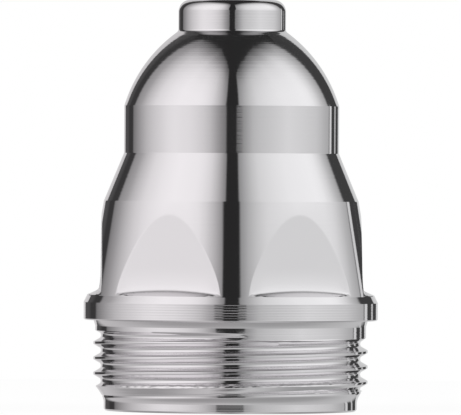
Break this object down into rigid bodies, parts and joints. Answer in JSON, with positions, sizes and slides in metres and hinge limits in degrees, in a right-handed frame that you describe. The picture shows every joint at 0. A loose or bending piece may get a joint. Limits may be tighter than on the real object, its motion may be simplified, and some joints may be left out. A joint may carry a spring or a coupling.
{
  "type": "plasma torch nozzle",
  "caption": "Hollow plated nozzle of a plasma cutting torch: threaded rear end, flange, skirt with wrench flats, domed nose and a tip boss with the arc orifice.",
  "frame": {"origin": "centre of the rear rim, on the axis, where the nozzle stands", "axes": "+Z along the axis, from the rear rim to the tip; a corner between two wrench flats faces -Y and a flat faces +X"},
  "size_m": [0.0194, 0.0192, 0.0269],
  "materials": {
    "plated_copper": "bright nickel-chrome plating over turned copper"
  },
  "bodies": {
    "root": {"nozzle": "plated_copper"}
  },
  "joints": []
}
